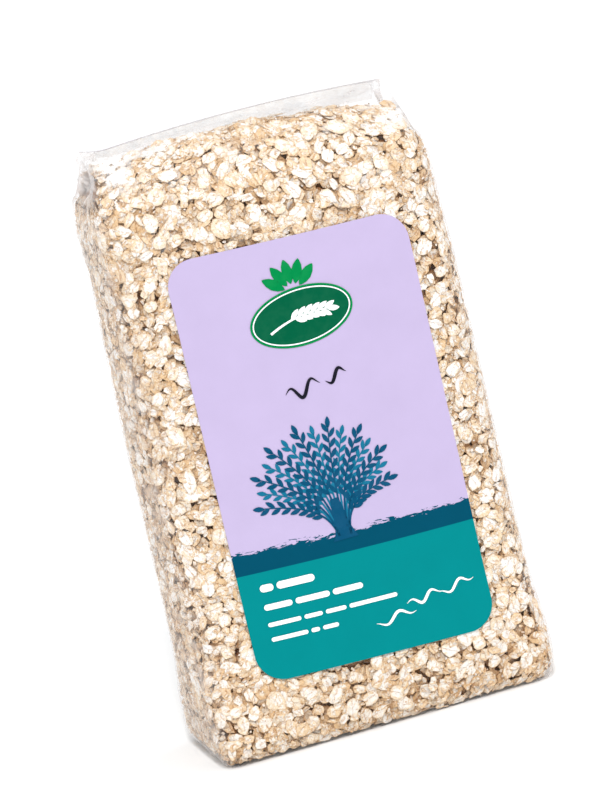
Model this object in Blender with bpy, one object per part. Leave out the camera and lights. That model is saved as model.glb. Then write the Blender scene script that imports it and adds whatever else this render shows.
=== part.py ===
# Clear film brick pack of rolled grain flakes, standing on its folded base, with a printed
# label on its front. The film and what it holds are one solid, the label is another.
# Front is -Y, up is +Z, and the origin is the middle of the footprint.

import math
import random

import bmesh
import bpy
from mathutils import Vector

MM = 0.001

# Driving sizes of the pack
PACK_HEIGHT = 250 * MM      # table to the top fold
PACK_WIDTH = 140 * MM       # across the swollen middle, without the flakes' relief
PACK_DEPTH = 67 * MM        # front to back across the middle, without the flakes' relief
FOLD_DROP = 2.6 * MM        # how far the top fold falls from its middle to its ends
FOLD_DROP_START = 0.9       # share of the height where that fall begins
FILL_HEIGHT = 241 * MM      # the flakes reach this high, and the film above is empty

# Width and depth at shares of the height, as shares of the pack's own width and depth
WIDTH_PROFILE = [
    (0.0, 0.962), (0.02, 0.982), (0.10, 1.0), (0.42, 1.0), (0.72, 0.986), (0.86, 0.962),
    (0.92, 0.930), (0.96, 0.900), (1.0, 0.880),
]
DEPTH_PROFILE = [
    (0.0, 0.930), (0.02, 0.965), (0.08, 0.995), (0.40, 1.0), (0.72, 0.985), (0.84, 0.930),
    (0.90, 0.820), (0.94, 0.630), (0.975, 0.330), (1.0, 0.022),
]
# Radius of the upright corners, and the sideways lean, at shares of the height
CORNER_PROFILE = [
    (0.0, 4 * MM), (0.04, 8 * MM), (0.15, 14 * MM), (0.45, 17 * MM), (0.80, 14 * MM),
    (0.90, 10 * MM), (0.95, 6 * MM), (0.98, 2.5 * MM), (1.0, 0.5 * MM),
]
LEAN_PROFILE = [(0.0, -0.6 * MM), (0.06, 0.5 * MM), (0.5, 0.0), (0.75, 0.0), (1.0, -2.2 * MM)]
CORNER_LIMIT = 0.8          # a corner takes at most this share of the half depth

# Swell of the panels: a share of the height to rise over, and to fall over
PANEL_SWELL = 3.2 * MM      # how far the front and back stand out between their corners
PANEL_RISE, PANEL_FALL, PANEL_TOP = 0.25, 0.2, 1.0
SIDE_SWELL = 2.4 * MM       # the same for the two sides
SIDE_RISE, SIDE_FALL, SIDE_TOP = 0.2, 0.2, 0.92
GUSSET_DEPTH = 6 * MM       # how far the sides fold in under the top fold
GUSSET_START = 0.86         # share of the height where that fold begins

# Relief of the flakes that press against the film
FLAKE = 5.0 * MM            # spacing of the bumps
FLAKE_RELIEF = 1.6 * MM     # their greatest height
FLAKE_DRIFT = 1.3 * MM      # how far a bump strays from its row and column
SIDE_DRIFT_SHARE = 0.6      # the sides' bumps stray less
RELIEF_START = 2 * MM       # the relief begins here above the base
RELIEF_RISE = 8 * MM        # and reaches its full height over this much
RELIEF_FALL = 6 * MM        # it fades over this much below the fill height
RELIEF_SEED = 11

# Seams and ears of the film
BACK_SEAM_WIDTH = 11 * MM
BACK_SEAM_RELIEF = 1.0 * MM
BACK_SEAM_RISE = 4 * MM     # the seam thickens over this much above the relief's start
SEAM_EDGE = 0.8 * MM
SEAM_MARGIN = 0.1 * MM
TOP_FLAP_LENGTH = 11 * MM   # the seal is folded down behind the top fold
TOP_FLAP_SHARE = 0.72       # the part of its length that shows as a step
TOP_FLAP_RELIEF = 1.0 * MM
TOP_FLAP_RISE = 3 * MM      # the step thickens over this much below the fold
TOP_FLAP_LIFT = 0.6         # share of the step that also goes up
EAR_REACH = 4.0 * MM        # the film ear at the front right base corner
EAR_HEIGHT = 7 * MM
EAR_SPREAD = 2.2            # it fades over this many of its heights
EAR_FORWARD = 0.25          # share of its reach that goes forward
CURL_REACH = 3.0 * MM       # the curled tip at the left end of the top fold
CURL_LENGTH = 9 * MM
CURL_LIFT = 0.4             # share of its reach that goes up
CURL_START = 0.985          # share of the height above which it curls

# The label stuck to the front
LABEL_WIDTH = 97 * MM
LABEL_HEIGHT = 171 * MM
LABEL_CORNER = 11.5 * MM
LABEL_CENTRE = (0.3 * MM, 115.7 * MM)   # across the front, and up it
LABEL_TILT = math.radians(-1.2)
LABEL_THICKNESS = 0.5 * MM
LABEL_GAP = 0.3 * MM
LABEL_MARGIN = 2.5 * MM     # the film lies flat this far round the label

# Fineness of the meshes
BASE_ROWS = [0.0, 0.8 * MM, 2.5 * MM, 5.5 * MM]     # heights of the rows at the base
SHOULDER = 0.90                                     # even rows up to this share of the height
TOP_ROWS = [0.92, 0.94, 0.955]                      # shares of the height above it
CORNER_STEPS = 3
SIDE_SHARE = 0.8            # the flat part of a side, as a share of the depth
LABEL_COLUMNS = 14
LABEL_ROWS = 18
LABEL_CORNER_ROWS = 5


def clear_scene():
    for thing in list(bpy.data.objects):
        bpy.data.objects.remove(thing, do_unlink=True)


def make_material(name, colour, roughness, metallic=0.0):
    material = bpy.data.materials.new(name)
    material.use_nodes = True
    shader = material.node_tree.nodes["Principled BSDF"]
    shader.inputs["Base Color"].default_value = (*colour, 1.0)
    shader.inputs["Roughness"].default_value = roughness
    shader.inputs["Metallic"].default_value = metallic
    return material


def add_object(name, mesh_data, material):
    mesh = bpy.data.meshes.new(name)
    mesh_data.to_mesh(mesh)
    mesh_data.free()
    mesh.materials.append(material)
    thing = bpy.data.objects.new(name, mesh)
    bpy.context.collection.objects.link(thing)
    return thing


def ease(share):
    share = min(max(share, 0.0), 1.0)
    return share * share * (3.0 - 2.0 * share)


def read_profile(profile, share):
    # the value between the profile's two nearest heights
    for (low, first), (high, second) in zip(profile, profile[1:]):
        if share <= high:
            part = (share - low) / (high - low)
            return first + (second - first) * min(max(part, 0.0), 1.0)
    return profile[-1][1]


def half_width(share):
    return 0.5 * PACK_WIDTH * read_profile(WIDTH_PROFILE, share)


def half_depth(share):
    return 0.5 * PACK_DEPTH * read_profile(DEPTH_PROFILE, share)


def panel_swell(share):
    # nothing at the base and the top fold, and full in between
    return PANEL_SWELL * ease(share / PANEL_RISE) * ease((PANEL_TOP - share) / PANEL_FALL)


def side_swell(share):
    return SIDE_SWELL * ease(share / SIDE_RISE) * ease((SIDE_TOP - share) / SIDE_FALL)


def corner_radius(share):
    room = CORNER_LIMIT * (half_depth(share) - panel_swell(share))
    return min(read_profile(CORNER_PROFILE, share), room)


def flat_reach(share):
    # how far the front and back run each way before they turn round the corner
    return half_width(share) - side_swell(share) - corner_radius(share)


def front_depth(x, height):
    """How far the smooth front stands out from the pack's middle plane."""
    share = height / PACK_HEIGHT
    across = (x - read_profile(LEAN_PROFILE, share)) / flat_reach(share)
    return half_depth(share) - panel_swell(share) * across * across


def row_heights():
    """Heights of the rows, close together at the base and at the top fold."""
    rows = list(BASE_ROWS)
    shoulder = SHOULDER * PACK_HEIGHT
    count = round((shoulder - rows[-1]) / FLAKE)
    step = (shoulder - rows[-1]) / count
    rows += [rows[-1] + step * number for number in range(1, count + 1)]
    flap_bottom = PACK_HEIGHT - TOP_FLAP_SHARE * TOP_FLAP_LENGTH
    rows += [share * PACK_HEIGHT for share in TOP_ROWS]
    rows += [flap_bottom - SEAM_EDGE, flap_bottom, CURL_START * PACK_HEIGHT, PACK_HEIGHT]
    return rows, flap_bottom


def panel_columns(flat):
    """Places of the columns across a front or back panel, left to right."""
    seam = 0.5 * BACK_SEAM_WIDTH
    inner = [0.0, seam, seam + SEAM_EDGE]
    count = round((0.5 * PACK_WIDTH - inner[-1]) / FLAKE) - 2
    outer = [inner[-1] + (flat - inner[-1]) * number / count for number in range(1, count + 1)]
    half = inner + outer
    return [-x for x in reversed(half[1:])] + half


def section(height):
    """The pack's outline at a height, as points with an outward way and a panel name."""
    share = height / PACK_HEIGHT
    wide, deep = half_width(share), half_depth(share)
    corner, flat = corner_radius(share), flat_reach(share)
    swell, bulge = panel_swell(share), side_swell(share)
    edge = deep - swell
    gusset = GUSSET_DEPTH * ease((share - GUSSET_START) / (1.0 - GUSSET_START))
    points = []
    columns = panel_columns(flat)
    for x in columns:
        across = x / flat
        points.append((x, -(deep - swell * across * across), 0.0, -1.0, "front"))
    side_steps = max(2, round(SIDE_SHARE * PACK_DEPTH / FLAKE / 2) * 2)
    for sign in (1, -1):
        for number in range(1, CORNER_STEPS):
            angle = math.radians(90.0 * number / CORNER_STEPS)
            points.append((sign * (flat + corner * math.sin(angle)),
                           -sign * (edge - corner + corner * math.cos(angle)),
                           sign * math.sin(angle), -sign * math.cos(angle), "corner"))
        for number in range(side_steps + 1):
            along = -1.0 + 2.0 * number / side_steps
            reach = wide - bulge * along * along - gusset * (1.0 - abs(along))
            points.append((sign * reach, sign * along * (edge - corner), sign, 0.0, "side"))
        for number in range(1, CORNER_STEPS):
            angle = math.radians(90.0 * (1.0 - number / CORNER_STEPS))
            points.append((sign * (flat + corner * math.sin(angle)),
                           sign * (edge - corner + corner * math.cos(angle)),
                           sign * math.sin(angle), sign * math.cos(angle), "corner"))
        if sign == 1:
            for x in reversed(columns):
                across = x / flat
                points.append((x, deep - swell * across * across, 0.0, 1.0, "back"))
    lean = read_profile(LEAN_PROFILE, share)
    return [(x + lean, y, nx, ny, panel) for x, y, nx, ny, panel in points], len(columns)


def on_label(x, height, margin):
    """Whether a place on the front lies under the label or within a margin of it."""
    across, up = x - LABEL_CENTRE[0], height - LABEL_CENTRE[1]
    turned = across * math.cos(LABEL_TILT) + up * math.sin(LABEL_TILT)
    risen = up * math.cos(LABEL_TILT) - across * math.sin(LABEL_TILT)
    return (abs(turned) < 0.5 * LABEL_WIDTH + margin
            and abs(risen) < 0.5 * LABEL_HEIGHT + margin)


def relief_share(x, height, panel):
    """How strongly the flakes press out here, from none to fully."""
    if panel == "front" and on_label(x, height, LABEL_MARGIN + 0.5 * FLAKE):
        return 0.0
    if panel == "back" and abs(x) < 0.5 * BACK_SEAM_WIDTH + FLAKE:
        return 0.0
    rise = ease((height - RELIEF_START) / RELIEF_RISE)
    return rise * ease((FILL_HEIGHT - height) / RELIEF_FALL)


def pull_ears(place, height):
    """Film that stands out at the base corner and curls at the left end of the fold."""
    x, y = place.x, place.y
    if height < EAR_HEIGHT and x > 0 and y < 0:
        corner = Vector((half_width(0.0), -half_depth(0.0)))
        near = 1.0 - (corner - Vector((x, y))).length / (EAR_SPREAD * EAR_HEIGHT)
        strength = EAR_REACH * max(near, 0.0) ** 2 * (1.0 - height / EAR_HEIGHT)
        place.x += strength
        place.y -= EAR_FORWARD * strength
    curl_start = -half_width(1.0) + CURL_LENGTH
    if height > CURL_START * PACK_HEIGHT and x < curl_start:
        strength = ((curl_start - x) / CURL_LENGTH) ** 2
        place.y += CURL_REACH * strength
        place.z += CURL_LIFT * CURL_REACH * strength
    return place


def skin_point(outline_point, height, flap_bottom, chance):
    """Where one point of the outline lies on the skin, with the relief, seam and flap added."""
    x, y, nx, ny, panel = outline_point
    bump, drift, slip = chance.random(), chance.uniform(-1, 1), chance.uniform(-1, 1)
    strength = relief_share(x, height, panel)
    out, flap = FLAKE_RELIEF * bump * strength, 0.0
    if panel == "back" and abs(x) < 0.5 * BACK_SEAM_WIDTH + SEAM_MARGIN:
        out = BACK_SEAM_RELIEF * ease((height - RELIEF_START) / BACK_SEAM_RISE)
    if panel == "back" and height >= flap_bottom:
        out, flap = 0.0, TOP_FLAP_RELIEF * ease((PACK_HEIGHT - height) / TOP_FLAP_RISE)
    place = Vector((x + nx * out, y + ny * (out + flap), height + TOP_FLAP_LIFT * flap))
    place.x += abs(ny) * drift * FLAKE_DRIFT * strength
    place.y += abs(nx) * drift * FLAKE_DRIFT * strength * SIDE_DRIFT_SHARE
    place.z += slip * FLAKE_DRIFT * strength
    sag = ease((height / PACK_HEIGHT - FOLD_DROP_START) / (1.0 - FOLD_DROP_START))
    place.z -= sag * FOLD_DROP * (x / half_width(1.0)) ** 2
    return pull_ears(place, height)


def build_pack(material):
    """The film and its flakes: rows of points round the pack, joined into one skin."""
    chance = random.Random(RELIEF_SEED)
    mesh = bmesh.new()
    heights, flap_bottom = row_heights()
    rings = []
    for height in heights:
        points, column_count = section(height)
        ring = [skin_point(point, height, flap_bottom, chance) for point in points]
        rings.append([mesh.verts.new(place) for place in ring])
    count = len(rings[0])
    for low, high in zip(rings, rings[1:]):
        for number in range(count):
            after = (number + 1) % count
            mesh.faces.new((low[number], low[after], high[after], high[number]))
    mesh.faces.new(list(reversed(rings[0])))
    close_fold(mesh, rings[-1], column_count)
    bmesh.ops.recalc_face_normals(mesh, faces=mesh.faces[:])
    return add_object("bag", mesh, material)


def close_fold(mesh, ring, column_count):
    """Joins the last row's front to its back, the narrow top of the fold."""
    last = column_count - 1
    back_first = len(ring) // 2
    for number in range(last):
        back = back_first + last - number
        mesh.faces.new((ring[number], ring[number + 1], ring[back - 1], ring[back]))
    mesh.faces.new(ring[last:back_first + 1])
    mesh.faces.new(ring[back_first + last:] + [ring[0]])


def label_rows():
    """Heights up the label from its middle, with the half width there."""
    straight = 0.5 * LABEL_HEIGHT - LABEL_CORNER
    rows = []
    for number in range(LABEL_ROWS + 1):
        rows.append((-straight + 2 * straight * number / LABEL_ROWS, 0.5 * LABEL_WIDTH))
    for number in range(1, LABEL_CORNER_ROWS + 1):
        angle = math.radians(90.0 * number / LABEL_CORNER_ROWS)
        half = 0.5 * LABEL_WIDTH - LABEL_CORNER * (1.0 - math.cos(angle))
        rise = straight + LABEL_CORNER * math.sin(angle)
        rows.insert(0, (-rise, half))
        rows.append((rise, half))
    return rows


def build_label(material):
    """A thin plate with round corners that follows the front of the pack."""
    mesh = bmesh.new()
    layers = []
    for off in (LABEL_GAP, LABEL_GAP + LABEL_THICKNESS):
        rows = []
        for up, half in label_rows():
            row = []
            for number in range(LABEL_COLUMNS + 1):
                across = half * (2.0 * number / LABEL_COLUMNS - 1.0)
                x = (LABEL_CENTRE[0] + across * math.cos(LABEL_TILT)
                     - up * math.sin(LABEL_TILT))
                z = (LABEL_CENTRE[1] + up * math.cos(LABEL_TILT)
                     + across * math.sin(LABEL_TILT))
                row.append(mesh.verts.new((x, -front_depth(x, z) - off, z)))
            rows.append(row)
        layers.append(rows)
    for rows in layers:
        for low, high in zip(rows, rows[1:]):
            for number in range(LABEL_COLUMNS):
                mesh.faces.new((low[number], low[number + 1], high[number + 1], high[number]))
    rims = []
    for rows in layers:
        rim = rows[0][:] + [row[-1] for row in rows[1:]] + rows[-1][-2::-1]
        rim += [row[0] for row in rows[-2:0:-1]]
        rims.append(rim)
    for number in range(len(rims[0])):
        after = (number + 1) % len(rims[0])
        mesh.faces.new((rims[0][number], rims[0][after], rims[1][after], rims[1][number]))
    bmesh.ops.recalc_face_normals(mesh, faces=mesh.faces[:])
    return add_object("label", mesh, material)


def main():
    clear_scene()
    film = make_material("film_over_flakes", (0.80, 0.70, 0.53), 0.35)
    print_face = make_material("printed_label", (0.62, 0.53, 0.80), 0.40)
    build_pack(film)
    build_label(print_face)


main()
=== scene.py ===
import math

import bmesh
import bpy
import numpy as np
from mathutils import Matrix, Vector, noise


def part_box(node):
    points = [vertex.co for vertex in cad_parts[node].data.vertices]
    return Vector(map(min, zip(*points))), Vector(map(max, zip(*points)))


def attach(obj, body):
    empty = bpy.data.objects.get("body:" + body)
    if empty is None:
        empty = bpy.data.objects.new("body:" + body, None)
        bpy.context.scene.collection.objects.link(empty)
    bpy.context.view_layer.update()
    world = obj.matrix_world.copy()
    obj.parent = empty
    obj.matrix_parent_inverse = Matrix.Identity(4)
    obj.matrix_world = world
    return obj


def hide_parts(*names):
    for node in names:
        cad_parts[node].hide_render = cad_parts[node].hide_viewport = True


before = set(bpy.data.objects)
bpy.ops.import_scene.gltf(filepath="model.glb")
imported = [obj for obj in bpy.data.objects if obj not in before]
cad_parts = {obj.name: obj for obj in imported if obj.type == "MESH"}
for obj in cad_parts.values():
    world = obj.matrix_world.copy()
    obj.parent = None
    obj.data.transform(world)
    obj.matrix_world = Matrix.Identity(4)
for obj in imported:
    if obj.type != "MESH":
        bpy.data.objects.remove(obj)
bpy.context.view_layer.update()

mm = 0.001
bagLow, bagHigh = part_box("bag")
reliefAllowance = 1.0 * mm      # the solid's flake relief stands this proud of the smooth pack

# The smooth pack that the film and the flakes follow. Front is -Y.
packShape = {
    "height": bagHigh.z,
    "width": bagHigh.x - bagLow.x,
    "depth": bagHigh.y - bagLow.y - 2.2 * reliefAllowance,
    "widthKeys": [(0.0, 0.930), (0.012, 0.956), (0.03, 0.974), (0.08, 0.992), (0.16, 1.0),
                  (0.50, 1.0), (0.72, 0.984), (0.86, 0.954), (0.92, 0.918), (0.96, 0.888), (1.0, 0.868)],
    "depthKeys": [(0.0, 0.890), (0.012, 0.945), (0.03, 0.972), (0.08, 0.995), (0.40, 1.0),
                  (0.72, 0.985), (0.84, 0.930), (0.90, 0.820), (0.94, 0.630), (0.975, 0.330),
                  (1.0, 0.022)],
    "cornerKeys": [(0.0, 4 * mm), (0.04, 8 * mm), (0.15, 14 * mm), (0.45, 17 * mm),
                   (0.80, 14 * mm), (0.90, 10 * mm), (0.95, 6 * mm), (0.98, 2.5 * mm),
                   (1.0, 0.5 * mm)],
    "leanKeys": [(0.0, -0.6 * mm), (0.06, 0.5 * mm), (0.5, 0.0), (0.75, 0.0), (1.0, -2.2 * mm)],
    "panelSwell": 3.2 * mm,
    "sideSwell": 2.4 * mm,
    "gussetDepth": 6 * mm,
    "gussetStart": 0.86,
    "foldDrop": 2.6 * mm,
    "relief": 1.5 * mm,         # flakes against the film stand this far outside the smooth pack
    # how high the flakes lie across the pack: nearly at the fold, lower on the right
    "fillKeys": [(-62 * mm, 243.6 * mm), (-46 * mm, 245.2 * mm), (-22 * mm, 246.0 * mm),
                 (2 * mm, 246.0 * mm), (16 * mm, 244.6 * mm), (29 * mm, 242.6 * mm),
                 (49 * mm, 240.8 * mm), (62 * mm, 239.6 * mm)],
    "sideDrop": 12 * mm,        # and this much lower against the folded-in sides
    "gridStep": 1.0 * mm,       # spacing of the lookup grid
}
topHalfWidth = 0.5 * packShape["width"] * packShape["widthKeys"][-1][1]


def ease(value):
    value = np.clip(value, 0.0, 1.0)
    return value * value * (3.0 - 2.0 * value)


def readKeys(keys, share, soften=0.0):
    places, values = zip(*keys)
    if not soften:
        return float(np.interp(share, places, values))
    spread = np.clip(share + np.linspace(-soften, soften, 7), 0.0, 1.0)
    return float(np.interp(spread, places, values).mean())


def panelSwell(share):
    return packShape["panelSwell"] * float(ease(share / 0.25) * ease((1.0 - share) / 0.2))


def sideSwell(share):
    return packShape["sideSwell"] * float(ease(share / 0.2) * ease((0.92 - share) / 0.2))


def sectionSizes(share):
    wide = 0.5 * packShape["width"] * readKeys(packShape["widthKeys"], share, 0.008)
    deep = 0.5 * packShape["depth"] * readKeys(packShape["depthKeys"], share)
    swell, bulge = panelSwell(share), sideSwell(share)
    corner = min(readKeys(packShape["cornerKeys"], share), 0.8 * (deep - swell))
    return wide, deep, swell, bulge, corner


def frontDepth(x, z):
    # how far the smooth front stands out in front of the middle plane
    share = z / packShape["height"]
    wide, deep, swell, bulge, corner = sectionSizes(share)
    across = (x - readKeys(packShape["leanKeys"], share)) / (wide - bulge - corner)
    return deep - swell * across * across


def sectionOutline(share, count):
    # points round the pack at one height, evenly spaced, from the front's middle to the right
    wide, deep, swell, bulge, corner = sectionSizes(share)
    flat, edge = wide - bulge - corner, deep - swell
    start = packShape["gussetStart"]
    gusset = packShape["gussetDepth"] * float(ease((share - start) / (1.0 - start)))
    across = np.linspace(0.0, flat, 24)
    turn = np.linspace(0.0, 0.5 * math.pi, 10)[1:-1]
    along = np.linspace(-1.0, 1.0, 25)
    quarter = [(x, -(deep - swell * (x / flat) ** 2)) for x in across]
    quarter += [(flat + corner * math.sin(t), -(edge - corner + corner * math.cos(t))) for t in turn]
    side = [(wide - bulge * a * a - gusset * (1.0 - abs(a)), a * (edge - corner)) for a in along]
    right = quarter + side + [(x, -y) for x, y in reversed(quarter)]
    loop = np.array(right + [(-x, y) for x, y in reversed(right[1:-1])] + [right[0]])
    steps = np.hypot(*np.diff(loop, axis=0).T)
    length = np.concatenate([[0.0], np.cumsum(steps)])
    places = np.linspace(0.0, length[-1], count, endpoint=False)
    x = np.interp(places, length, loop[:, 0]) + readKeys(packShape["leanKeys"], share)
    y = np.interp(places, length, loop[:, 1])
    return x, y, length[-1]


def buildLookup():
    # rows of the pack's surface at even steps up the front, and columns at even steps round it
    height, step = packShape["height"], packShape["gridStep"]
    shares = np.linspace(0.0, 1.0, 1200)
    deeps = np.array([sectionSizes(s)[1] for s in shares])
    climb = np.concatenate([[0.0], np.cumsum(np.hypot(np.diff(deeps), np.diff(shares) * height))])
    rows = int(round(climb[-1] / step)) + 1
    columns = 420
    rowShares = np.interp(np.linspace(0.0, climb[-1], rows), climb, shares)
    points = np.zeros((rows, columns, 3))
    girth = np.zeros(rows)
    topWidth = sectionSizes(1.0)[0]
    for row, share in enumerate(rowShares):
        x, y, girth[row] = sectionOutline(share, columns)
        sag = float(ease((share - 0.9) / 0.1)) * packShape["foldDrop"] * (x / topWidth) ** 2
        points[row] = np.stack([x, y, share * height - sag], axis=1)
    aroundWay = np.roll(points, -1, axis=1) - np.roll(points, 1, axis=1)
    upWay = np.gradient(points, axis=0)
    normals = np.cross(aroundWay, upWay)
    normals /= np.maximum(np.linalg.norm(normals, axis=2, keepdims=True), 1e-12)
    normals[-6:, :, :] = normals[-7:-6, :, :]
    return {"points": points, "normals": normals, "girth": girth, "rows": rows, "columns": columns,
            "length": climb[-1], "heights": rowShares * height,
            "climbs": np.linspace(0.0, climb[-1], rows)}


lookup = buildLookup()


def onPack(around, climb):
    # place and outward way on the smooth pack: around is a share of the girth, climb in metres
    row = np.clip(climb / lookup["length"], 0.0, 1.0) * (lookup["rows"] - 1)
    column = np.mod(around, 1.0) * lookup["columns"]
    low = np.minimum(row.astype(int), lookup["rows"] - 2)
    left = np.mod(column.astype(int), lookup["columns"])
    right = np.mod(left + 1, lookup["columns"])
    up, over = (row - low)[..., None], (column - np.floor(column))[..., None]
    found = []
    for grid in (lookup["points"], lookup["normals"]):
        lower = grid[low, left] * (1 - over) + grid[low, right] * over
        upper = grid[low + 1, left] * (1 - over) + grid[low + 1, right] * over
        found.append(lower * (1 - up) + upper * up)
    ways = found[1] / np.maximum(np.linalg.norm(found[1], axis=-1, keepdims=True), 1e-9)
    return found[0], ways


def girthAt(climb):
    row = np.clip(climb / lookup["length"], 0.0, 1.0) * (lookup["rows"] - 1)
    return np.interp(row, np.arange(lookup["rows"]), lookup["girth"])


labelShape = {
    "width": 99 * mm,
    "height": 172 * mm,
    "corner": 11.5 * mm,
    "centre": (0.3 * mm, 115.5 * mm),
    "tilt": math.radians(-1.6),
    "skew": 0.030,              # it was stuck on a little out of square
    "bed": 1.40 * mm,           # the film's height under it
    "lift": 1.62 * mm,          # its underside above the smooth front
    "thickness": 0.2 * mm,
    "slice": 5.0 * mm,          # cuts that let it follow the swollen front
}


def onLabel(points, ways, margin):
    # true on the front within a margin of the label's edge
    across, up = points[..., 0] - labelShape["centre"][0], points[..., 2] - labelShape["centre"][1]
    cosine, sine = math.cos(labelShape["tilt"]), math.sin(labelShape["tilt"])
    risen = up * cosine - across * sine
    turned = across * cosine + up * sine + labelShape["skew"] * risen
    inside = np.abs(turned) < 0.5 * labelShape["width"] + margin
    inside &= np.abs(risen) < 0.5 * labelShape["height"] + margin
    return inside & (ways[..., 1] < -0.5)


def fillLevel(x):
    places, heights = zip(*packShape["fillKeys"])
    return np.interp(x, places, heights) + 0.5 * mm * np.sin(x * 190.0 + 0.6)


def fillAgainst(points, ways):
    # the same where the flakes meet the film: lower on the sides and a little at the back
    aside = ease((np.abs(ways[..., 0]) - 0.4) / 0.4)
    return fillLevel(points[..., 0]) - packShape["sideDrop"] * aside - 1.5 * mm * (ways[..., 1] > 0.3)


def heapDepth(level):
    # half the pack's depth at a height
    shares, deeps = zip(*packShape["depthKeys"])
    return 0.5 * packShape["depth"] * np.interp(level / packShape["height"], shares, deeps)


def standOut(points, ways, climb):
    # how far the flakes press the film out from the smooth pack, less under the label
    below = fillAgainst(points, ways) + 1 * mm - points[..., 2]
    filled = ease(climb / (7 * mm)) * ease(below / (5 * mm))
    away = np.zeros(points.shape[:-1])
    for margin in (0.5, 1.5, 2.5, 3.5):
        away += 0.25 * ~onLabel(points, ways, margin * mm)
    return filled * (labelShape["bed"] + (packShape["relief"] - labelShape["bed"]) * away)


class Skin:
    # a new material with short ways to add nodes; a socket takes a value or another node's output
    def __init__(self, name):
        self.material = bpy.data.materials.new(name)
        self.material.use_nodes = True
        self.tree = self.material.node_tree
        self.tree.nodes.clear()

    def add(self, kind, sockets, **values):
        node = self.tree.nodes.new("ShaderNode" + kind)
        for name, value in values.items():
            setattr(node, name, value)
        for place, value in sockets.items():
            if isinstance(value, bpy.types.NodeSocket):
                self.tree.links.new(value, node.inputs[place])
            else:
                node.inputs[place].default_value = value
        return node

    def place(self, kind="Object"):
        return self.add("TexCoord", {}).outputs[kind]

    def attribute(self, name):
        return self.add("Attribute", {}, attribute_name=name).outputs["Fac"]

    def split(self, vector):
        return self.add("SeparateXYZ", {0: vector}).outputs

    def math(self, operation, *terms, clamp=False):
        sockets = dict(enumerate(terms))
        return self.add("Math", sockets, operation=operation, use_clamp=clamp).outputs[0]

    def span(self, value, low, high, toLow=0.0, toHigh=1.0, kind="SMOOTHSTEP"):
        sockets = dict(enumerate((value, low, high, toLow, toHigh)))
        return self.add("MapRange", sockets, interpolation_type=kind).outputs[0]

    def noise(self, where, scale, detail=3.0, roughness=0.55, distortion=0.0):
        return self.add("TexNoise", {"Vector": where, "Scale": scale, "Detail": detail,
                                     "Roughness": roughness, "Distortion": distortion}).outputs["Fac"]

    def mix(self, share, first, second, blend="MIX"):
        sockets = {0: share, 6: first, 7: second}
        return self.add("Mix", sockets, data_type="RGBA", blend_type=blend).outputs[2]

    def bump(self, height, strength, distance):
        sockets = {"Height": height, "Strength": strength, "Distance": distance}
        return self.add("Bump", sockets).outputs[0]

    def shader(self, kind, **sockets):
        return self.add("Bsdf" + kind, sockets).outputs[0]

    def solid(self, colour, roughness, gloss=0.5, normal=None):
        sockets = {"Base Color": colour, "Roughness": roughness, "Specular IOR Level": gloss}
        if normal:
            sockets["Normal"] = normal
        return self.shader("Principled", **sockets)

    def both(self, share, first, second):
        return self.add("MixShader", {0: share, 1: first, 2: second}).outputs[0]

    def finish(self, surface):
        self.add("OutputMaterial", {0: surface})
        return self.material


def srgb(red, green, blue, alpha=1.0):
    parts = [value / 255.0 for value in (red, green, blue)]
    linear = [p / 12.92 if p <= 0.04045 else ((p + 0.055) / 1.055) ** 2.4 for p in parts]
    return (*linear, alpha)


flakeFinish = {
    "tanRim": 0.32, "tanFrom": 0.66, "tanTo": 0.88,     # more tan towards the rim
    # painted shade: the lowest flakes are darkened by this colour, fading out between these heights
    "baseShadeFrom": 8 * mm, "baseShadeTo": 56 * mm, "baseShade": (0.95, 0.915, 0.87, 1.0),
    "depthShadeFrom": 0.8, "depthShadeTo": 2.6, "deep": (0.44, 0.30, 0.19, 1.0),    # painted shade over these millimetres below the film
    "bump": 0.85, "bumpDepth": 0.8 * mm, "gloss": 0.3,
    "through": 0.08,            # thin flakes let some light through to the ones behind
}


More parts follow.
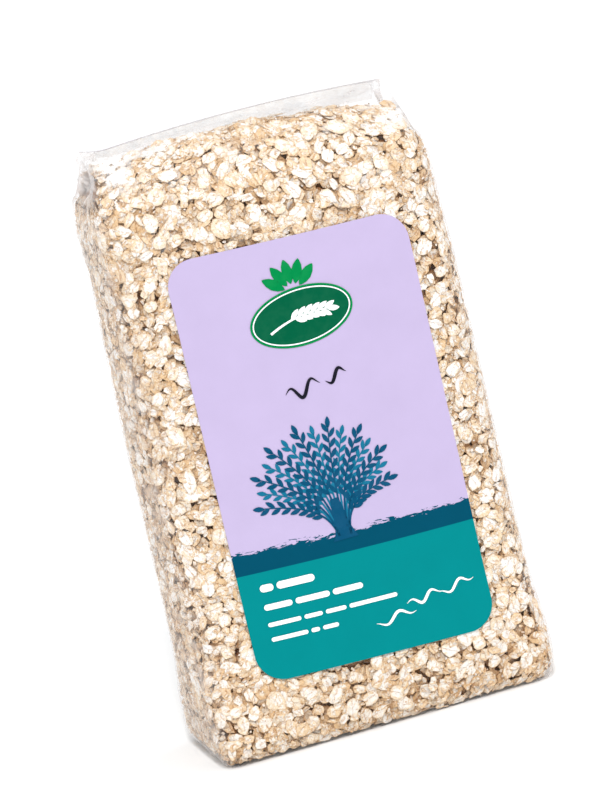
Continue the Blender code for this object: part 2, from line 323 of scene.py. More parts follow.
def makeFlakeMaterial(name, look):
    # mealy cream faces with tan patches, a brown line along the middle, and a browner rim that is partly
    # bran and partly painted shade along the outline
    skin = Skin(name)
    tone, rim, depth = [skin.attribute(label) for label in ("tone", "rim", "depth")]
    own = skin.split(skin.add("UVMap", {}, uv_map="flakeUV").outputs["UV"])
    apart = skin.math("MULTIPLY", tone, 97.0)       # each flake reads its own slice of noise
    place = skin.add("CombineXYZ", {0: own[0], 1: own[1], 2: apart}).outputs[0]
    patches = skin.noise(place, 0.55, 4.0, 0.62, 0.6)
    meal = skin.noise(place, 2.4, 3.0, 0.7)
    wander = skin.noise(place, 0.7, 2.0)
    bent = skin.add("VectorMath", {0: wander, 1: (0.9, 0.9, 0.9), 2: place}, operation="MULTIPLY_ADD")
    cells = skin.add("TexVoronoi", {"Vector": bent.outputs[0], "Scale": 0.40},
                     feature="DISTANCE_TO_EDGE")
    cracked = skin.span(cells.outputs["Distance"], 0.01, 0.07, 1.0, 0.0)
    lean = skin.span(tone, 0.0, 1.0, look["tanLow"], look["tanHigh"], "LINEAR")
    wide = skin.math("MULTIPLY_ADD", rim, flakeFinish["tanRim"], patches)
    tanShare = skin.span(skin.math("ADD", wide, lean), flakeFinish["tanFrom"], flakeFinish["tanTo"])
    face = skin.mix(tanShare, look["flour"], look["tan"])
    face = skin.mix(skin.span(meal, 0.46, 0.66, 0.0, look["meal"]), face, look["flour"])
    # the crease wanders a little across the flake's middle line
    shifted = skin.math("ADD", own[1], skin.math("MULTIPLY_ADD", wander, 2.0, -1.0))
    crease = skin.span(skin.math("ABSOLUTE", shifted), 0.10, 0.50, 1.0, 0.0)
    creases = skin.math("MULTIPLY", crease, skin.span(patches, 0.40, 0.62, 0.1, look["crease"]))
    cracks = skin.math("MULTIPLY", cracked, skin.span(meal, 0.40, 0.58, 0.1, look["crack"]))
    # a brown rim: partly the bran's colour, partly painted shade along each flake's outline
    edge = skin.math("MULTIPLY", skin.span(rim, 0.86, 1.0),
                     skin.span(meal, 0.38, 0.56, look["rim"], 0.15))
    marks = skin.math("MAXIMUM", skin.math("MAXIMUM", creases, cracks), edge)
    face = skin.mix(marks, face, look["brown"])
    # painted shade: the flakes are darkened towards the base, and darkened the deeper they lie below the
    # film
    high = skin.split(skin.place())[2]
    low = skin.span(high, flakeFinish["baseShadeFrom"], flakeFinish["baseShadeTo"], 1.0, 0.0)
    face = skin.mix(low, face, flakeFinish["baseShade"], "MULTIPLY")
    # painted shade: darker the deeper the flake lies below the film
    deep = skin.span(depth, flakeFinish["depthShadeFrom"], flakeFinish["depthShadeTo"])
    face = skin.mix(deep, face, flakeFinish["deep"], "MULTIPLY")
    bumps = skin.math("MULTIPLY_ADD", meal, 0.34, patches)
    bumps = skin.math("MULTIPLY_ADD", crease, -0.22, bumps)
    bumps = skin.math("MULTIPLY_ADD", cracked, -0.16, bumps)
    body = skin.solid(face, skin.span(meal, 0.3, 0.7, 0.62, 0.88), flakeFinish["gloss"],
                      skin.bump(bumps, flakeFinish["bump"], flakeFinish["bumpDepth"]))
    return skin.finish(skin.both(flakeFinish["through"], body, skin.shader("Translucent", Color=face)))


flakeLooks = {
    "pale": {"flour": srgb(251, 250, 247), "tan": srgb(240, 219, 187), "brown": srgb(200, 148, 96),
             "tanLow": -0.06, "tanHigh": 0.16, "meal": 0.6, "crease": 0.6, "rim": 0.75, "crack": 0.15},
    "cream": {"flour": srgb(249, 246, 239), "tan": srgb(236, 207, 166), "brown": srgb(188, 132, 80),
              "tanLow": -0.02, "tanHigh": 0.22, "meal": 0.5, "crease": 0.7, "rim": 0.8, "crack": 0.2},
    # the golden look goes on flakes lying deeper: partly toasted flakes' own colour, partly painted
    # shade
    "golden": {"flour": srgb(244, 234, 216), "tan": srgb(230, 193, 145), "brown": srgb(170, 116, 66),
               "tanLow": -0.02, "tanHigh": 0.26, "meal": 0.45, "crease": 0.7, "rim": 0.7, "crack": 0.3},
}


flakeWall = 0.16        # a template's thickness, its radius being one


def makeFlakeTemplate(chance, corners, ragged, ringed):
    # one flake of unit radius: a disc with a thin torn rim, a raised middle and a curl
    flake = bmesh.new()
    bmesh.ops.create_circle(flake, cap_ends=True, segments=corners, radius=1.0)
    lobes, turn = chance.integers(2, 5), chance.uniform(0, 2 * math.pi)
    for vert in flake.verts:
        angle = math.atan2(vert.co.y, vert.co.x)
        reach = 1.0 + 0.08 * math.sin(lobes * angle + turn) + chance.uniform(-ragged, ragged)
        vert.co *= reach
    for vert in chance.choice(list(flake.verts), size=2, replace=False):
        vert.co *= 1.0 - chance.uniform(0.6, 2.2) * ragged    # a crack runs in from the rim
    for _ in range(chance.integers(1, 4)):
        way, reach = chance.uniform(0, 2 * math.pi), chance.uniform(0.66, 0.94)
        way = Vector((math.cos(way), math.sin(way), 0.0))
        for vert in flake.verts:
            vert.co -= way * max(vert.co.dot(way) - reach, 0.0)   # broken off along a line
    disc = flake.faces[:]
    if ringed:
        bmesh.ops.inset_region(flake, faces=disc, use_boundary=True, thickness=0.34, depth=0.0)
    bmesh.ops.poke(flake, faces=disc)
    rim = flake.verts.layers.float.new("rim")
    for vert in flake.verts:
        vert[rim] = 1.0 if vert.is_boundary else min(0.6, vert.co.length)
    faceOut(flake)
    bmesh.ops.solidify(flake, geom=flake.faces[:], thickness=flakeWall)
    faceOut(flake)
    middle = sum((v.co.z for v in flake.verts)) / len(flake.verts)
    curlLong, curlWide = chance.uniform(-0.06, 0.12), chance.uniform(-0.05, 0.16)
    waves, phase = chance.integers(2, 4), chance.uniform(0, 6.28)
    for vert in flake.verts:
        radius = math.hypot(vert.co.x, vert.co.y)
        vert.co.z = (vert.co.z - middle) * (1.15 - 0.60 * min(radius, 1.0))
        angle = math.atan2(vert.co.y, vert.co.x)
        vert.co.z += curlLong * vert.co.x ** 2 + curlWide * vert.co.y ** 2
        vert.co.z += 0.05 * radius * radius * math.sin(waves * angle + phase)
        if radius < 0.7:
            vert.co.z += chance.uniform(-0.03, 0.03)
    flake.verts.ensure_lookup_table()
    flake.verts.index_update()
    points = np.array([v.co[:] for v in flake.verts])
    rim = flake.verts.layers.float["rim"]
    rims = np.array([v[rim] for v in flake.verts])
    loops = [v.index for f in flake.faces for v in f.verts]
    sizes = [len(f.verts) for f in flake.faces]
    flake.free()
    return {"points": points, "loops": np.array(loops), "sizes": np.array(sizes), "rim": rims}


def spreadPlaces(chance, spacing, climbLow, climbHigh, limit):
    # places that keep a distance from each other, spread over the pack's sides
    girth = lookup["girth"].max()
    cell = spacing / math.sqrt(2)
    taken, chosen = {}, []
    tries = int(9 * girth * (climbHigh - climbLow) / spacing ** 2)
    drawn = chance.random((tries, 2))
    for share, rise in drawn:
        climb = climbLow + (climbHigh - climbLow) * rise
        x, y = share * girth, climb
        column, row = int(x / cell), int(y / cell)
        near = (taken.get((column + i, row + j)) for i in (-2, -1, 0, 1, 2) for j in (-2, -1, 0, 1, 2))
        if any(p and math.hypot(p[0] - x, p[1] - y) < spacing for p in near):
            continue
        taken[(column, row)] = (x, y)
        chosen.append((share, climb))
        if len(chosen) == limit:
            break
    return np.array(chosen)


def finishPiece(name, mesh, material, angle):
    mesh.shade_smooth()
    mesh.set_sharp_from_angle(angle=math.radians(angle))
    mesh.materials.append(material)
    piece = bpy.data.objects.new(name, mesh)
    bpy.context.scene.collection.objects.link(piece)
    return piece


def finishMesh(name, sheet, material, angle=40.0):
    mesh = bpy.data.meshes.new(name)
    sheet.to_mesh(mesh)
    sheet.free()
    return finishPiece(name, mesh, material, angle)


def joinCopies(name, batches, material):
    # one mesh from many placed copies of a few templates
    parts = {label: [] for label in ("points", "loops", "sizes", "spots", "tone", "rim", "depth")}
    offset = 0
    for template, placed, local, tone, depth in batches:
        copies, count = placed.shape[:2]
        shift = offset + np.arange(copies)[:, None] * count
        parts["points"].append(placed.reshape(-1, 3))
        parts["loops"].append((template["loops"][None, :] + shift).ravel())
        parts["sizes"].append(np.tile(template["sizes"], copies))
        parts["spots"].append(local.reshape(-1, 2))
        parts["tone"].append(np.repeat(tone, count))
        parts["rim"].append(np.tile(template["rim"], copies))
        parts["depth"].append(depth.ravel() / mm)
        offset += copies * count
    parts = {label: np.concatenate(values) for label, values in parts.items()}
    points, loops, sizes = parts["points"], parts["loops"], parts["sizes"]
    mesh = bpy.data.meshes.new(name)
    mesh.vertices.add(len(points))
    mesh.vertices.foreach_set("co", points.astype(np.float32).ravel())
    mesh.loops.add(len(loops))
    mesh.loops.foreach_set("vertex_index", loops.astype(np.int32))
    mesh.polygons.add(len(sizes))
    starts = np.concatenate([[0], np.cumsum(sizes)[:-1]])
    mesh.polygons.foreach_set("loop_start", starts.astype(np.int32))
    mesh.update(calc_edges=True)
    for label in ("tone", "rim", "depth"):
        layer = mesh.attributes.new(label, "FLOAT", "POINT")
        layer.data.foreach_set("value", parts[label].astype(np.float32))
    layer = mesh.uv_layers.new(name="flakeUV")
    layer.data.foreach_set("uv", parts["spots"][loops].astype(np.float32).ravel())
    mesh.validate()
    print("  ", name, len(sizes), "faces", int((sizes - 2).sum()), "triangles")
    return finishPiece(name, mesh, material, 48.0)


def turnWays(spin, lean, leanWay):
    # rotation matrices: spin in the flake's own plane, then a lean about an in-plane line
    cs, ss = np.cos(spin), np.sin(spin)
    zero, one = np.zeros_like(spin), np.ones_like(spin)
    ax, ay = np.cos(leanWay), np.sin(leanWay)
    c, s = np.cos(lean), np.sin(lean)
    k = 1.0 - c
    flat = ((cs, -ss, zero), (ss, cs, zero), (zero, zero, one))
    tip = ((c + ax * ax * k, ax * ay * k, ay * s), (ax * ay * k, c + ay * ay * k, -ax * s),
           (-ay * s, ax * s, c))
    flat, tip = [np.stack([np.stack(row, -1) for row in rows], 1) for rows in (flat, tip)]
    return tip @ flat


def drawShapes(template, chance, kind, count):
    # copies of one flake at their own sizes, and where each of their points lies in the flake
    length = chance.uniform(*kind["length"], count)
    width = length * chance.uniform(*kind["slim"], count)
    thick = chance.uniform(*kind["thick"], count) / flakeWall
    shape = template["points"][None] * np.stack([0.5 * length, 0.5 * width, thick], -1)[:, None]
    return shape, shape[..., :2] / mm


def placeOnPack(template, chance, places, kind):
    # copies of one flake, bent to follow the film, with their highest point just under it
    count = len(places)
    shape, local = drawShapes(template, chance, kind, count)
    spin = chance.uniform(0, 2 * math.pi, count)
    lean = np.abs(chance.normal(0.0, kind["lean"], count))
    leanWay = chance.uniform(0, 2 * math.pi, count)
    _, ways = onPack(places[:, 0], places[:, 1])
    # on the sides many stand on edge against the film
    onSide = (ways[:, 0] < -0.75) | (ways[:, 0] > 0.98)
    sideways = onSide & (chance.random(count) < kind["edgeOn"])
    lean = np.where(sideways, chance.uniform(0.9, 1.35, count), lean)
    leanWay = np.where(sideways, 0.5 * math.pi + chance.normal(0, 0.3, count), leanWay)
    turned = np.einsum("nij,nvj->nvi", turnWays(spin, lean, leanWay), shape)
    top = turned[..., 2].max(axis=1)
    under = chance.uniform(*kind["under"], count)
    depth = turned[..., 2] - (top + under)[:, None]
    around = places[:, 0][:, None] + turned[..., 0] / girthAt(places[:, 1])[:, None]
    climb = np.maximum(places[:, 1][:, None] + turned[..., 1], 0.6 * mm)
    points, ways = onPack(around, climb)
    stand = standOut(points, ways, climb).min(axis=1)
    return points + ways * (depth + stand[:, None])[..., None], local, chance.random(count), -depth


def placeFlat(template, chance, places, kind, height, facing):
    # copies lying on a level sheet: the heap's top, or the pack's underside
    count = len(places)
    shape, local = drawShapes(template, chance, kind, count)
    lean = np.abs(chance.normal(0.0, kind["lean"] * (2.4 if facing > 0 else 1.2), count))
    spins, ways = chance.uniform(0, 6.28, count), chance.uniform(0, 6.28, count)
    turned = np.einsum("nij,nvj->nvi", turnWays(spins, lean, ways), shape)
    top = turned[..., 2].max(axis=1)
    under = chance.uniform(*kind["under"], count)
    rise = (turned[..., 2] - (top + under)[:, None]) * facing
    x = places[:, 0][:, None] + turned[..., 0] * facing
    placed = np.stack([x, places[:, 1][:, None] + turned[..., 1], height[:, None] + rise], -1)
    return placed, local, chance.random(count), np.abs(rise)


# Each kind of flake is one piece: how many shapes, their sizes, how they lean and how deep they lie
flakeKinds = {
    "broadFlakes": {"seed": 3, "look": "pale", "shapes": 18, "corners": 14, "ragged": 0.08,
                    "ringed": True, "length": (6.4 * mm, 9.8 * mm), "slim": (0.60, 0.92),
                    "thick": (0.45 * mm, 0.7 * mm), "lean": 0.15, "edgeOn": 0.40,
                    "under": (0.0, 0.5 * mm), "spacing": 8.4 * mm, "layers": 1, "limit": 420},
    "paleFlakes": {"seed": 5, "look": "pale", "shapes": 20, "corners": 10, "ragged": 0.09,
                   "ringed": True, "length": (4.6 * mm, 7.6 * mm), "slim": (0.64, 0.94),
                   "thick": (0.42 * mm, 0.7 * mm), "lean": 0.24, "edgeOn": 0.5,
                   "under": (0.0, 0.8 * mm), "spacing": 5.4 * mm, "layers": 2, "limit": 960},
    "creamFlakes": {"seed": 7, "look": "cream", "shapes": 20, "corners": 11, "ragged": 0.11,
                    "ringed": False, "length": (4.4 * mm, 7.0 * mm), "slim": (0.6, 0.92),
                    "thick": (0.42 * mm, 0.7 * mm), "lean": 0.28, "edgeOn": 0.5,
                    "under": (0.1 * mm, 1.1 * mm), "spacing": 4.3 * mm, "layers": 2, "limit": 1750},
    # deeper, in the golden look: partly painted shade for the gaps
    "goldenFlakes": {"seed": 9, "look": "golden", "shapes": 18, "corners": 7, "ragged": 0.12,
                     "ringed": False, "length": (5.4 * mm, 7.8 * mm), "slim": (0.66, 0.95),
                     "thick": (0.5 * mm, 0.8 * mm), "lean": 0.24, "edgeOn": 0.3,
                     "under": (0.6 * mm, 1.7 * mm), "spacing": 4.1 * mm, "layers": 2, "limit": 3150},
    "brokenFlakes": {"seed": 13, "look": "cream", "shapes": 22, "corners": 7, "ragged": 0.22,
                     "ringed": False, "length": (1.8 * mm, 4.0 * mm), "slim": (0.5, 0.95),
                     "thick": (0.4 * mm, 0.75 * mm), "lean": 0.5, "edgeOn": 0.4,
                     "under": (0.0, 0.8 * mm), "spacing": 3.6 * mm, "layers": 1, "limit": 3600},
    "crumbs": {"seed": 17, "look": "pale", "shapes": 14, "corners": 5, "ragged": 0.25,
               "ringed": False, "length": (0.9 * mm, 2.0 * mm), "slim": (0.5, 0.95),
               "thick": (0.35 * mm, 0.7 * mm), "lean": 0.6, "edgeOn": 0.3,
               "under": (0.0, 0.9 * mm), "spacing": 3.3 * mm, "layers": 1, "limit": 3200},
}


# Loose flakes on a level sheet, on top of the heap and on the pack's underside
heapShape = {
    # facing, half sizes and how many layers
    "sheets": ((1.0, 56 * mm, 10 * mm, 3), (-1.0, 64 * mm, 28 * mm, 1)),
    "cover": 0.8, "wallGap": 3 * mm, "baseLift": 0.5 * mm, "topUnder": (0.6, 5.0),
    "endDrop": 6 * mm, "endStart": 44 * mm, "endReach": 12 * mm,    # it sinks towards both ends
}


def keepShown(places, margin, below):
    # left out: what lies wholly behind the label, and what would hang above the fill line
    points, ways = onPack(places[:, 0], places[:, 1])
    hidden = onLabel(points, ways, -margin)
    below = np.where(ways[:, 1] > -0.3, below, 0.0)     # on the front they reach the fill line
    return places[~hidden & (points[:, 2] < fillAgainst(points, ways) - below)]


def buildFlakes():
    pieces = []
    for name, kind in flakeKinds.items():
        chance = np.random.default_rng(kind["seed"])
        material = makeFlakeMaterial(name + "Skin", flakeLooks[kind["look"]])
        shapes = [makeFlakeTemplate(chance, kind["corners"], kind["ragged"], kind["ringed"])
                  for _ in range(kind["shapes"])]
        layers = []
        for _ in range(kind["layers"]):
            places = spreadPlaces(chance, kind["spacing"], 1.5 * mm, lookup["length"] - 3 * mm, 16000)
            layers.append(keepShown(places, 4 * mm, 0.35 * kind["length"][1])[:kind["limit"]])
        places = np.concatenate(layers)
        picks = chance.integers(0, len(shapes), len(places))
        batches = []
        for number, shape in enumerate(shapes):
            mine = places[picks == number]
            batches.append((shape, *placeOnPack(shape, chance, mine, kind)))
            for facing, halfX, halfY, sheets in heapShape["sheets"]:
                room = 4 * halfX * halfY * heapShape["cover"] * sheets
                count = int(room / kind["spacing"] ** 2 / len(shapes)) + 1
                x, y = chance.uniform(-halfX, halfX, count), chance.uniform(-halfY, halfY, count)
                level = np.full(count, heapShape["baseLift"])
                if facing > 0:
                    level = fillLevel(x) - chance.uniform(*heapShape["topUnder"], count) * mm
                    end = ease((np.abs(x) - heapShape["endStart"]) / heapShape["endReach"])
                    level -= heapShape["endDrop"] * end
                    y *= np.maximum(heapDepth(level) - heapShape["wallGap"], 1 * mm) / halfY
                flat = placeFlat(shape, chance, np.stack([x, y], -1), kind, level, facing)
                batches.append((shape, *flat))
        pieces.append(joinCopies(name, batches, material))
    return pieces


coreShape = {
    "depth": 2.2 * mm, "rough": 0.8 * mm,       # how deep it lies under the flakes
    "columns": 110, "rows": 64, "baseLift": 3 * mm, "topDrop": 5 * mm,
    # painted shade: browns for the gaps between flakes, paler tones for the top
    "dark": srgb(140, 84, 40), "light": srgb(206, 144, 80),
    "topDark": srgb(186, 146, 104), "topLight": srgb(240, 219, 187),
}


def makeCoreMaterial():
    # painted shade: darker browns stand for the shade in the gaps between the flakes; the level top is
    # painted with less shade, in the heap's paler tones
    skin = Skin("deepFlakesShadeSkin")
    place = skin.place()
    grain = skin.noise(place, 320.0, 5.0, 0.7)
    patches = skin.noise(place, 120.0, 2.0)
    shade = skin.math("MULTIPLY_ADD", patches, 0.5, skin.math("MULTIPLY", grain, 0.6))
    colour = skin.mix(skin.span(shade, 0.35, 0.75), coreShape["dark"], coreShape["light"])
    topColour = skin.mix(skin.span(shade, 0.40, 0.70), coreShape["topDark"], coreShape["topLight"])
    level = skin.span(skin.split(skin.place("Normal"))[2], 0.6, 0.9)
    colour = skin.mix(level, colour, topColour)
    return skin.finish(skin.solid(colour, 0.9, normal=skin.bump(grain, 0.9, 1.2 * mm)))


def unitGrid(columns, rows):
    # a flat grid, with each vertex's share of the way across and up
    sheet = bmesh.new()
    bmesh.ops.create_grid(sheet, x_segments=columns, y_segments=rows, size=1.0)
    flat = np.array([v.co[:2] for v in sheet.verts]) * 0.5 + 0.5
    return sheet, flat[:, 0], flat[:, 1]


def faceOut(sheet):
    bmesh.ops.recalc_face_normals(sheet, faces=sheet.faces[:])


def setPlaces(sheet, points):
    for vert, place in zip(sheet.verts, points):
        vert.co = place


def closeWrap(sheet, points, gap):
    # puts a rolled grid in its place, joins its seam and fills each open end with one face
    setPlaces(sheet, points)
    bmesh.ops.remove_doubles(sheet, verts=sheet.verts[:], dist=gap)
    rims = [edge for edge in sheet.edges if edge.is_boundary]
    bmesh.ops.holes_fill(sheet, edges=rims, sides=0)
    faceOut(sheet)
    bmesh.ops.triangulate(sheet, faces=[f for f in sheet.faces if len(f.verts) > 4])


def buildCore():
    sheet, around, share = unitGrid(coreShape["columns"], coreShape["rows"])
    high, facing = onPack(around, np.full(len(around), 0.9 * lookup["length"]))
    level = fillAgainst(high, facing) - coreShape["topDrop"]
    top = np.interp(level, lookup["heights"], lookup["climbs"])
    points, ways = onPack(around, coreShape["baseLift"] + (top - coreShape["baseLift"]) * share)
    lumps = np.array([noise.noise(Vector(p) * 260.0) for p in points])
    points = points - ways * (coreShape["depth"] + coreShape["rough"] * (1.0 + lumps))[:, None]
    closeWrap(sheet, points, 1e-6)
    return finishMesh("deepFlakes", sheet, makeCoreMaterial())


filmShape = {
    "columns": 232, "rows": 150,
    "lift": 0.08 * mm,          # film above the highest flakes
    "press": 0.20 * mm,         # how far flakes push it out
    "slack": 0.55 * mm,         # how far the empty top waves
    "cornerLift": 0.3 * mm,     # the creases at the upright corners
    "earReach": 2.6 * mm, "earHeight": 5 * mm,
    "curlReach": 3.0 * mm, "curlLength": 9 * mm,
}

# Folds of the film: panel, from (across, climb below the top fold), to, height and width of the fold
filmFolds = [
    ("front", (-60, 1), (-40, 24), 0.50, 1.1), ("front", (-61, 2), (-57, 30), 0.55, 1.0),
    ("front", (-60, 1), (-18, 15), 0.45, 0.9), ("front", (-58, 0), (-30, 7), 0.40, 0.8),
    ("front", (56, 1), (50, 26), 0.50, 1.0), ("front", (57, 1), (34, 20), 0.45, 1.0),
    ("front", (55, 0), (22, 9), 0.40, 0.9), ("front", (58, 3), (62, 30), 0.50, 0.9),
    ("front", (-24, 0), (8, 16), 0.30, 0.8), ("front", (-6, 0), (-16, 13), 0.25, 0.8),
    ("front", (14, 0), (30, 14), 0.28, 0.8), ("front", (38, 0), (28, 12), 0.25, 0.7),
    ("left", (-4, 6), (-14, 30), 0.60, 1.1), ("left", (3, 8), (12, 34), 0.60, 1.1),
    ("left", (0, 4), (0, 42), 0.70, 1.2), ("left", (-9, 12), (-17, 40), 0.45, 0.9),
    ("left", (8, 14), (18, 44), 0.45, 0.9), ("left", (-2, 20), (4, 60), 0.35, 0.9),
    ("right", (-4, 6), (-14, 30), 0.60, 1.1), ("right", (3, 8), (12, 34), 0.60, 1.1),
    ("right", (0, 4), (0, 42), 0.70, 1.2), ("right", (6, 18), (16, 50), 0.40, 0.9),
    ("back", (-58, 1), (-40, 24), 0.45, 1.0), ("back", (58, 1), (42, 26), 0.45, 1.0),
    ("back", (-30, 12), (-12, 24), 0.30, 0.9), ("back", (30, 12), (16, 26), 0.30, 0.9),
]

# Painted highlights, white glare patches on the film: panel, middle (across, climb below the top fold),
# half sizes, strength
paintedGlarePatches = [
    ("front", (-55, 19), (6.5, 9), 0.8), ("front", (-55, 9), (8, 3.5), 0.5),
    ("front", (-40, 11), (13, 3.5), 0.5), ("front", (58, 26), (7, 6), 0.65),
    ("front", (50, 17), (6, 3), 0.35), ("front", (-30, 30), (9, 6), 0.30),
    ("front", (-5, 22), (8, 4.5), 0.28), ("front", (30, 25), (9, 3.5), 0.26),
    ("front", (43, 46), (8, 5), 0.24), ("front", (-44, 52), (6, 8), 0.16),
    ("front", (12, 3), (26, 2.0), 0.12),
    ("left", (0, 22), (7, 12), 0.35), ("left", (-8, 60), (5, 16), 0.18),
    ("right", (4, 26), (8, 10), 0.3), ("back", (-30, 40), (14, 10), 0.25),
    ("back", (34, 90), (10, 18), 0.2), ("back", (-36, 170), (12, 20), 0.2),
]

panelMiddles = {"front": 0.0, "right": 0.25, "back": 0.5, "left": 0.75}


def onPanel(panel, around, climb):
    # millimetres across from a panel's middle
    return (np.mod(around - panelMiddles[panel] + 0.5, 1.0) - 0.5) * girthAt(climb) / mm


def foldLift(around, climb):
    # sum of the folds' soft ridges at each place on the film
    total = np.zeros_like(climb)
    down = (lookup["length"] - climb) / mm
    for panel, start, end, tall, wide in filmFolds:
        across = onPanel(panel, around, climb)
        ax, ay = end[0] - start[0], end[1] - start[1]
        along = ((across - start[0]) * ax + (down - start[1]) * ay) / (ax * ax + ay * ay)
        inside = np.clip(along, 0.0, 1.0)
        gap = np.hypot(across - start[0] - inside * ax, down - start[1] - inside * ay)
        total += tall * np.exp(-(gap / wide) ** 2) * ease((1.15 - inside) / 0.5)
    return total


def paintedGlareShare(around, climb):
    # painted highlight: how much white glare each place gets
    total = np.zeros_like(climb)
    down = (lookup["length"] - climb) / mm
    for panel, middle, sizes, strength in paintedGlarePatches:
        across = onPanel(panel, around, climb)
        gap = ((across - middle[0]) / sizes[0]) ** 2 + ((down - middle[1]) / sizes[1]) ** 2
        total += strength * np.exp(-gap)
    return np.clip(total, 0.0, 1.0)


def earShare(points):
    # how far each place belongs to the loose film ear at a base corner
    x, y, z = points.T
    halfWidth = 0.5 * packShape["width"] * 0.94
    halfDepth = 0.5 * packShape["depth"] * 0.91
    gap = np.hypot(x - halfWidth, y + halfDepth)
    near = np.clip(1.0 - gap / (2.2 * filmShape["earHeight"]), 0.0, 1.0) ** 2
    return near * np.clip(1.0 - z / filmShape["earHeight"], 0.0, 1.0)


def pullEars(points):
    # the loose ear and the curled end of the top fold
    x, y, z = points.T
    pull = filmShape["earReach"] * earShare(points)
    curlStart = filmShape["curlLength"] - topHalfWidth
    curl = np.where((z > 0.97 * packShape["height"]) & (x < curlStart),
                    ((curlStart - x) / filmShape["curlLength"]) ** 2, 0.0)
    return np.stack([x + pull, y - 0.25 * pull + filmShape["curlReach"] * curl,
                     z + 0.4 * filmShape["curlReach"] * curl], -1)


def makeFilmMaterial(name, look):
    # clear film: what lies behind shows through, with gloss that grows at a slant, a milky haze that is
    # partly painted sheen, and painted white glare
    skin = Skin(name)
    place = skin.place()
    haze, paintedGlare = skin.attribute("haze"), skin.attribute("paintedGlare")
    facing = skin.add("LayerWeight", {"Blend": 0.5}).outputs["Facing"]
    slanting = skin.math("POWER", facing, 3.2)
    gloss = skin.math("MULTIPLY_ADD", slanting, look["slantGloss"], look["gloss"])
    wrinkles = skin.noise(place, look["wrinkleScale"], 2.0, 0.5, 0.6)
    relief = skin.math("MULTIPLY_ADD", skin.noise(place, 900.0, 2.0), 0.18, wrinkles)
    clear = skin.shader("Transparent", Color=look["tint"])
    shine = skin.shader("Glossy", Color=(1.0, 1.0, 1.0, 1.0), Roughness=look["roughness"],
                        Normal=skin.bump(relief, look["bump"], 0.9 * mm))
    milk = skin.shader("Diffuse", Color=look["milk"])
    cloud = skin.both(0.45, milk, skin.shader("Translucent", Color=look["milk"]))
    # the haze, partly painted sheen, lies in long slanting streaks
    slanted = skin.add("Mapping", {"Vector": place, "Rotation": (0.0, look["streakTurn"], 0.0),
                                   "Scale": (5.0, 1.6, 0.55)}, vector_type="TEXTURE")
    streaks = skin.noise(slanted.outputs[0], look["wrinkleScale"], 2.0, 0.5, 0.5)
    amount = skin.math("MULTIPLY", haze, skin.span(streaks, 0.34, 0.66, 0.35, 1.75), clamp=True)
    whole = skin.both(amount, skin.both(gloss, clear, shine), cloud)
    # painted highlight: where the film would shine, white flecks are painted on
    flecks = skin.math("ADD", skin.noise(place, 330.0, 4.0, 0.7), skin.math("MULTIPLY", paintedGlare, 0.24))
    glare = skin.math("MULTIPLY", paintedGlare, skin.span(flecks, 0.50, 0.66, 0.1, 1.0))
    return skin.finish(skin.both(glare, whole, skin.shader("Diffuse", Color=(0.97, 0.97, 0.97, 1.0))))


filmLooks = {
    "film": {"gloss": 0.012, "slantGloss": 0.34, "roughness": 0.14, "wrinkleScale": 110.0, "bump": 0.22,
             "streakTurn": 0.42, "tint": (0.990, 0.991, 0.994, 1.0), "milk": srgb(249, 245, 244)},
    "seal": {"gloss": 0.04, "slantGloss": 0.35, "roughness": 0.2, "wrinkleScale": 120.0, "bump": 0.3,
             "streakTurn": -0.5, "tint": (0.99, 0.991, 0.993, 1.0), "milk": srgb(250, 250, 252)},
    "fold": {"gloss": 0.08, "slantGloss": 0.4, "roughness": 0.2, "wrinkleScale": 200.0, "bump": 0.4,
             "streakTurn": 0.0, "tint": (0.97, 0.97, 0.975, 1.0), "milk": srgb(234, 232, 236)},
}


def addHaze(sheet, amounts, name="haze"):
    layer = sheet.verts.layers.float.new(name)
    for vert, amount in zip(sheet.verts, amounts):
        vert[layer] = float(amount)


def cornerShare(ways):
    # the upright creases at the pack's four corners
    return np.exp(-((np.abs(ways[:, 0]) - 0.93) / 0.04) ** 2)


# How milky the film is where it lies on flakes, where the bag is empty, on its sides and in creases; on
# the sides, over the empty top and at the corners it is partly painted sheen for the film's reflections
hazeAndSheenShares = {"filled": 0.008, "empty": 0.065, "side": 0.11, "emptySide": 0.34, "folds": 0.34,
              "corners": 0.14, "ear": 0.3}


def filmHazeAndSheen(points, folds, ways):
    empty = ease((points[:, 2] - fillAgainst(points, ways) + 1.5 * mm) / (3 * mm))
    side = ease((np.abs(ways[:, 0]) - 0.35) / 0.6)
    haze = hazeAndSheenShares["filled"] + hazeAndSheenShares["empty"] * empty
    haze = haze + side * (hazeAndSheenShares["side"] + hazeAndSheenShares["emptySide"] * empty)
    haze = haze + hazeAndSheenShares["folds"] * np.clip(folds, 0.0, 1.0)
    haze = haze + hazeAndSheenShares["corners"] * cornerShare(ways) * (1 - empty)
    return haze + hazeAndSheenShares["ear"] * earShare(points)


